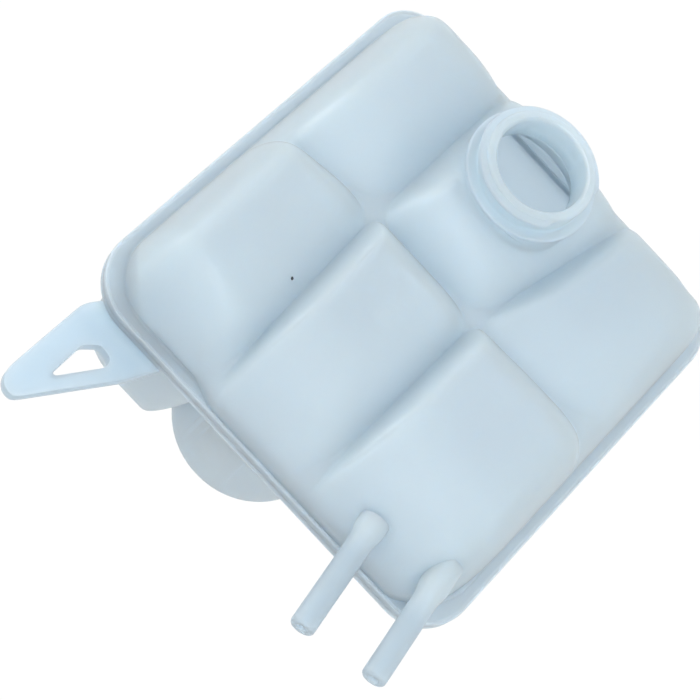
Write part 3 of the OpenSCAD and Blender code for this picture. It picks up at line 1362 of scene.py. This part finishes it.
class PaintedFrontShade(SurfaceGroup):
    """Painted shade: a darker copy of the plastic's colour for the solid lug and nipples in front of the
    hollow tank.

    The hollow housing passes more light than they do, so the same plastic is paler there; the darkening
    paints in the shade of these solid parts.
    """

    name = "painted_front_shade"
    inlets = (
        ("Color", "NodeSocketColor", (0.7, 0.8, 0.9, 1.0)),
        # Share of the colour kept where the painted shade is full.
        ("Painted Shade", "NodeSocketFloat", 0.85),
        ("Begins At", "NodeSocketFloat", 0.024),
        ("Full At", "NodeSocketFloat", 0.01),
    )
    outlets = (("Color", "NodeSocketColor"),)

    @classmethod
    def wire(cls, tree: bpy.types.NodeTree, inlet: bpy.types.Node, outlet: bpy.types.Node) -> None:
        """The colour is darkened towards the front, along Y, as painted shade.

        Args:
            tree: The group's node tree.
            inlet: Node that holds the group's inputs.
            outlet: Node that takes the group's outputs.
        """
        nodes, links = tree.nodes, tree.links
        place = nodes.new("ShaderNodeTexCoord")
        split = nodes.new("ShaderNodeSeparateXYZ")
        front = nodes.new("ShaderNodeMapRange")
        front.interpolation_type = "SMOOTHSTEP"
        front.inputs["To Min"].default_value = 1.0
        # Painted shade: scales the colour down towards the front.
        shaded = nodes.new("ShaderNodeVectorMath")
        shaded.operation = "SCALE"
        links.new(place.outputs["Object"], split.inputs["Vector"])
        links.new(split.outputs["Y"], front.inputs["Value"])
        links.new(inlet.outputs["Begins At"], front.inputs["From Min"])
        links.new(inlet.outputs["Full At"], front.inputs["From Max"])
        links.new(inlet.outputs["Painted Shade"], front.inputs["To Max"])
        links.new(inlet.outputs["Color"], shaded.inputs["Vector"])
        links.new(front.outputs["Result"], shaded.inputs["Scale"])
        links.new(shaded.outputs["Vector"], outlet.inputs["Color"])


@dataclass(frozen=True)
class MilkyPlastic:
    """Translucent natural plastic with a cold blue cast."""

    name: str = "milky_tank_plastic"
    colour: tuple[float, float, float] = (0.735, 0.875, 0.997)
    cloud: tuple[float, float, float] = (0.765, 0.895, 0.999)
    cloud_amount: float = 0.35
    # Painted shade on the solid lug and nipples: share of the colour kept, and where along Y (metres) it
    # begins and is full.
    front_shade: float = 0.77
    front_shade_begins: float = 0.024
    front_shade_full: float = 0.01
    roughness: float = 0.4
    refraction: float = 1.49
    clearness: float = 0.58
    glow_depth: tuple[float, float, float] = (1.0, 1.1, 1.2)
    glow_scale: float = 0.014
    peel_depth: float = 0.00002
    peel_strength: float = 0.5

    def material(self) -> bpy.types.Material:
        """Builds the material once and gives it again after that.

        Returns:
            The plastic's material.
        """
        found = bpy.data.materials.get(self.name)
        if found:
            return found
        made = bpy.data.materials.new(self.name)
        made.use_nodes = True
        nodes, links = made.node_tree.nodes, made.node_tree.links
        shader = nodes["Principled BSDF"]
        skin = MouldedSkin.place(
            made,
            {
                "Plastic": (*self.colour, 1.0),
                "Cloud": (*self.cloud, 1.0),
                "Cloud Amount": self.cloud_amount,
                "Roughness": self.roughness,
            },
        )
        bump = nodes.new("ShaderNodeBump")
        bump.inputs["Distance"].default_value = self.peel_depth
        bump.inputs["Strength"].default_value = self.peel_strength
        # Painted shade: the base colour is darkened at the front, on the solid lug and nipples.
        front = PaintedFrontShade.place(
            made,
            {"Painted Shade": self.front_shade, "Begins At": self.front_shade_begins, "Full At": self.front_shade_full},
        )
        links.new(skin.outputs["Color"], front.inputs["Color"])
        links.new(front.outputs["Color"], shader.inputs["Base Color"])
        links.new(skin.outputs["Roughness"], shader.inputs["Roughness"])
        links.new(skin.outputs["Height"], bump.inputs["Height"])
        links.new(bump.outputs["Normal"], shader.inputs["Normal"])
        shader.inputs["IOR"].default_value = self.refraction
        shader.inputs["Transmission Weight"].default_value = self.clearness
        shader.inputs["Subsurface Weight"].default_value = 1.0
        shader.inputs["Subsurface Radius"].default_value = self.glow_depth
        shader.inputs["Subsurface Scale"].default_value = self.glow_scale
        return made


@dataclass(frozen=True)
class Grime:
    """Dull dark dirt."""

    name: str = "dark_grime"
    colour: tuple[float, float, float] = (0.05, 0.05, 0.055)
    cloud: tuple[float, float, float] = (0.025, 0.025, 0.0275)
    cloud_scale: float = 2500.0
    roughness: float = 0.8

    def material(self) -> bpy.types.Material:
        """Builds the material.

        Returns:
            The dirt's material.
        """
        made = bpy.data.materials.new(self.name)
        made.use_nodes = True
        shader = made.node_tree.nodes["Principled BSDF"]
        skin = MouldedSkin.place(
            made,
            {
                "Plastic": (*self.colour, 1.0),
                "Cloud": (*self.cloud, 1.0),
                "Cloud Scale": self.cloud_scale,
                "Roughness": self.roughness,
            },
        )
        made.node_tree.links.new(skin.outputs["Color"], shader.inputs["Base Color"])
        made.node_tree.links.new(skin.outputs["Roughness"], shader.inputs["Roughness"])
        return made


@dataclass(frozen=True)
class DirtSpeck:
    """The one dark speck that lies on the front left cushion."""

    x: float = -42.75
    y: float = -51.6
    radius: float = 0.75
    thick: float = 0.25
    sink: float = 0.1
    slope_reach: float = 0.5
    dome_steps: int = 5
    dome_share: float = 0.95
    sides: int = 20

    def _normal(self, sheet: CushionSheet) -> Vector:
        """Direction that the shell's outside faces under the speck."""
        reach = self.slope_reach
        slope_x = sheet.surface_z(self.x + reach, self.y) - sheet.surface_z(self.x - reach, self.y)
        slope_y = sheet.surface_z(self.x, self.y + reach) - sheet.surface_z(self.x, self.y - reach)
        run = 2.0 * reach
        return Vector((-slope_x / run, -slope_y / run, 1.0)).normalized()

    def build(self, sheet: CushionSheet, plan: TankPlan) -> bpy.types.Object:
        """Lays the speck on the shell's outside.

        Args:
            sheet: The upper shell's surface.
            plan: Shared outline sizes.

        Returns:
            The speck.
        """
        profile = [(0.0, -self.sink)]
        for step in range(self.dome_steps + 1):
            turn = step / self.dome_steps * math.pi / 2.0 * self.dome_share
            profile.append((self.radius * math.cos(turn), self.thick * math.sin(turn)))
        profile.append((0.0, self.thick))
        spot = Matrix.Translation((self.x, self.y, sheet.surface_z(self.x, self.y)))
        tilt = self._normal(sheet).to_track_quat("Z", "Y").to_matrix().to_4x4()
        dome = Moulding.from_profile(profile, self.sides).moved(spot @ tilt)
        speck = dome.to_object("dirt_speck", plan)
        speck.data.shade_smooth()
        speck.data.materials.append(Grime().material())
        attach(speck, ROOT_BODY)
        LOG.info("dirt_speck: %d faces", len(speck.data.polygons))
        return speck


@dataclass(frozen=True)
class PhotoCamera:
    """Camera at the photograph's viewing angle."""

    tilt: float = 30.0
    swing: float = -1.56
    roll: float = 46.918
    focal_pixels: float = 2258.2
    frame_pixels: float = 700.0
    sensor: float = 36.0
    distance: float = 919.0
    target: tuple[float, float, float] = (-5.98, -37.2, 0.0)
    clip_start: float = 0.01

    def axes(self) -> tuple[Vector, Vector, Vector]:
        """Right, up and backward directions of the camera.

        Returns:
            Three unit vectors.
        """
        tilt, swing, roll = (math.radians(a) for a in (self.tilt, self.swing, self.roll))
        back = Vector(
            (math.sin(swing) * math.cos(tilt), -math.sin(tilt), math.cos(tilt) * math.cos(swing))
        ).normalized()
        level = Vector((1.0, 0.0, 0.0))
        level = (level - back * level.dot(back)).normalized()
        upright = back.cross(level)
        right = level * math.cos(roll) + upright * math.sin(roll)
        up = upright * math.cos(roll) - level * math.sin(roll)
        return right, up, back

    def build(self, plan: TankPlan) -> bpy.types.Object:
        """Puts the camera in the scene.

        Args:
            plan: Plan that holds the lug's eye.

        Returns:
            The camera.
        """
        right, up, back = self.axes()
        spot = Vector(self.target) + back * self.distance
        place = plan.to_frame(np.array(spot))
        lens = bpy.data.cameras.new("photo_camera")
        lens.sensor_width = self.sensor
        lens.lens = self.focal_pixels / self.frame_pixels * self.sensor
        lens.clip_start = self.clip_start
        camera = bpy.data.objects.new("photo_camera", lens)
        bpy.context.scene.collection.objects.link(camera)
        camera.matrix_world = Matrix(
            (
                (right.x, up.x, back.x, place[0]),
                (right.y, up.y, back.y, place[1]),
                (right.z, up.z, back.z, place[2]),
                (0.0, 0.0, 0.0, 1.0),
            )
        )
        bpy.context.scene.camera = camera
        return camera


@dataclass(frozen=True)
class SoftBox:
    """One soft lamp that faces the tank."""

    name: str
    place: tuple[float, float, float]
    size: float
    watts: float
    colour: tuple[float, float, float] = (1.0, 1.0, 1.0)

    def build(self, target: Vector) -> bpy.types.Object:
        """Hangs the lamp and turns it to the target.

        Args:
            target: What the lamp faces, in metres.

        Returns:
            The lamp.
        """
        lamp = bpy.data.lights.new(self.name, "AREA")
        lamp.shape = "DISK"
        lamp.size = self.size
        lamp.energy = self.watts
        lamp.color = self.colour
        made = bpy.data.objects.new(self.name, lamp)
        bpy.context.scene.collection.objects.link(made)
        made.location = target + Vector(self.place)
        made.rotation_euler = (-Vector(self.place)).to_track_quat("-Z", "Y").to_euler()
        return made


def backdrop_rays(tree: bpy.types.NodeTree) -> bpy.types.NodeSocket:
    """Adds nodes that tell the rays that show a backdrop from those that light the tank.

    Args:
        tree: Node tree of the floor's material or of the world.

    Returns:
        A socket that is 1 for rays of the camera, of mirrors and of glass, and 0 for the rest.
    """
    path = tree.nodes.new("ShaderNodeLightPath")
    seen = path.outputs["Is Camera Ray"]
    for kind in ("Is Glossy Ray", "Is Transmission Ray"):
        either = tree.nodes.new("ShaderNodeMath")
        either.operation = "MAXIMUM"
        tree.links.new(seen, either.inputs[0])
        tree.links.new(path.outputs[kind], either.inputs[1])
        seen = either.outputs[0]
    return seen


@dataclass
class Studio:
    """Pale room with soft lamps."""

    floor_drop: float = 0.45
    floor_size: float = 6.0
    floor_colour: tuple[float, float, float] = (0.9, 0.9, 0.9)
    floor_roughness: float = 0.9
    backdrop_share: float = 0.95
    backdrop_white: tuple[float, float, float] = (1.0, 1.0, 1.0)
    room_colour: tuple[float, float, float] = (0.91, 0.965, 1.0)
    room_strength: float = 1.5
    lamps: tuple[SoftBox, ...] = (
        SoftBox("left_key", (-1.4, 0.2, 0.55), size=0.8, watts=5.5),
        SoftBox("top_fill", (0.2, -0.6, 1.6), size=1.2, watts=4.0),
    )

    def _backdrop_white(self, material: bpy.types.Material, surface: bpy.types.NodeSocket) -> None:
        """Shows plain white to the camera, mirrors and glass, and nothing from below.

        Args:
            material: The floor's material.
            surface: Its lit surface, which keeps the tank's shadow.
        """
        nodes, links = material.node_tree.nodes, material.node_tree.links
        share = nodes.new("ShaderNodeMath")
        share.operation = "MULTIPLY"
        share.inputs[1].default_value = self.backdrop_share
        links.new(backdrop_rays(material.node_tree), share.inputs[0])
        glow = nodes.new("ShaderNodeEmission")
        mix = nodes.new("ShaderNodeMixShader")
        links.new(share.outputs[0], mix.inputs[0])
        links.new(surface, mix.inputs[1])
        links.new(glow.outputs[0], mix.inputs[2])
        side = nodes.new("ShaderNodeNewGeometry")
        clear = nodes.new("ShaderNodeBsdfTransparent")
        one_sided = nodes.new("ShaderNodeMixShader")
        links.new(side.outputs["Backfacing"], one_sided.inputs[0])
        links.new(mix.outputs[0], one_sided.inputs[1])
        links.new(clear.outputs[0], one_sided.inputs[2])
        links.new(one_sided.outputs[0], nodes["Material Output"].inputs["Surface"])

    def floor(self, lowest: float, centre: Vector) -> bpy.types.Object:
        """Plain pale floor well below the tank, which hangs by its lug.

        Args:
            lowest: Height of the tank's lowest point.
            centre: Middle of the tank.

        Returns:
            The floor.
        """
        material = bpy.data.materials.new("pale_floor")
        material.use_nodes = True
        shader = material.node_tree.nodes["Principled BSDF"]
        shader.inputs["Base Color"].default_value = (*self.floor_colour, 1.0)
        shader.inputs["Roughness"].default_value = self.floor_roughness
        self._backdrop_white(material, shader.outputs[0])
        half = self.floor_size / 2.0
        corners = [(-half, -half, 0.0), (half, -half, 0.0), (half, half, 0.0), (-half, half, 0.0)]
        mesh = bpy.data.meshes.new("floor")
        mesh.from_pydata(corners, [], [(0, 1, 2, 3)])
        made = bpy.data.objects.new("floor", mesh)
        bpy.context.scene.collection.objects.link(made)
        made.location = (centre.x, centre.y, lowest - self.floor_drop)
        mesh.materials.append(material)
        made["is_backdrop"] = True
        return made

    def room(self) -> None:
        """World that lights evenly and shows white to the camera, mirrors and glass."""
        world = bpy.data.worlds.new("pale_room")
        world.use_nodes = True
        nodes, links = world.node_tree.nodes, world.node_tree.links
        light = nodes["Background"]
        light.inputs["Color"].default_value = (*self.room_colour, 1.0)
        light.inputs["Strength"].default_value = self.room_strength
        white = nodes.new("ShaderNodeBackground")
        white.inputs["Color"].default_value = (*self.backdrop_white, 1.0)
        mix = nodes.new("ShaderNodeMixShader")
        links.new(backdrop_rays(world.node_tree), mix.inputs[0])
        links.new(light.outputs[0], mix.inputs[1])
        links.new(white.outputs[0], mix.inputs[2])
        links.new(mix.outputs[0], nodes["World Output"].inputs["Surface"])
        bpy.context.scene.world = world

    def build(self, low: Vector, high: Vector) -> None:
        """Sets up the floor, the room and the lamps round the tank.

        Args:
            low: Lowest corner of the tank's box.
            high: Highest corner.
        """
        centre = (low + high) / 2.0
        self.floor(low.z, centre)
        self.room()
        for lamp in self.lamps:
            lamp.build(centre)


def upper_sheet(plan: TankPlan) -> CushionSheet:
    """Cushions of the upper shell.

    Args:
        plan: Shared outline sizes.

    Returns:
        The sheet.
    """
    return CushionSheet(
        plan=plan,
        side=Side.UP,
        front_row=(
            Cushion(top=40.0, left=20.0, right=34.0, front=26.0, back=14.0),
            Cushion(top=40.0, left=9.0, right=30.0, front=46.0, back=14.0),
            Cushion(top=40.0, left=9.0, right=28.0, front=50.0, back=14.0),
        ),
        rear_row=(
            Cushion(top=39.0, left=20.0, right=34.0, front=38.0, back=36.0),
            Cushion(top=44.0, left=14.0, right=36.0, front=25.0, back=52.0),
            Cushion(top=35.0, left=10.0, right=38.0, front=38.0, back=44.0),
        ),
        base=Cushion(top=26.0, left=14.0, right=16.0, front=22.0, back=19.0),
        base_front_right=46.0,
        columns=(64, 64, 72),
        rows=(88, 72),
        apron=4.0,
        pads=(
            Pad(x=35.4, y=-59.0, radius=11.5, edge=1.6, lift=0.22),
            Pad(x=-6.9, y=-37.3, radius=4.0, edge=0.8, lift=0.35),
        ),
    )


def lower_sheet(plan: TankPlan) -> CushionSheet:
    """Chambers of the lower shell.

    Args:
        plan: Shared outline sizes.

    Returns:
        The sheet.
    """
    return CushionSheet(
        plan=plan,
        side=Side.DOWN,
        front_row=(
            Cushion(top=67.0, left=30.0, right=12.0, front=8.0, back=24.0),
            Cushion(top=57.0, left=20.0, right=24.0, front=34.0, back=24.0),
            Cushion(top=45.0, left=20.0, right=40.0, front=60.0, back=24.0),
        ),
        rear_row=(
            Cushion(top=59.0, left=18.0, right=24.0, front=24.0, back=30.0),
            Cushion(top=53.0, left=20.0, right=24.0, front=24.0, back=34.0),
            Cushion(top=45.0, left=20.0, right=40.0, front=24.0, back=40.0),
        ),
        base=Cushion(top=38.0, left=18.0, right=36.0, front=8.0, back=26.0),
        base_front_right=40.0,
        columns=(60, 60, 64),
        rows=(80, 66),
    )


def main() -> None:
    """Builds the tank, the camera and the studio."""
    logging.basicConfig(level=logging.INFO, format="%(name)s: %(message)s")
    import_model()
    cad_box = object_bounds()
    plan = TankPlan()
    camera = PhotoCamera().build(plan)
    LOG.info("camera at %s", tuple(round(v, 3) for v in camera.location))
    plastic = MilkyPlastic()
    upper = UpperShell(plan, upper_sheet(plan), CadNode.UPPER, "upper_shell_moulding")
    lower = LowerShell(plan, lower_sheet(plan), CadNode.LOWER, "lower_shell_moulding")
    upper.build(plastic)
    lower.build(plastic)
    DirtSpeck().build(upper.sheet, plan)
    Studio().build(Vector(cad_box[0]), Vector(cad_box[1]))
    bpy.context.scene.view_settings.view_transform = "Standard"


if __name__ == "__main__":
    main()
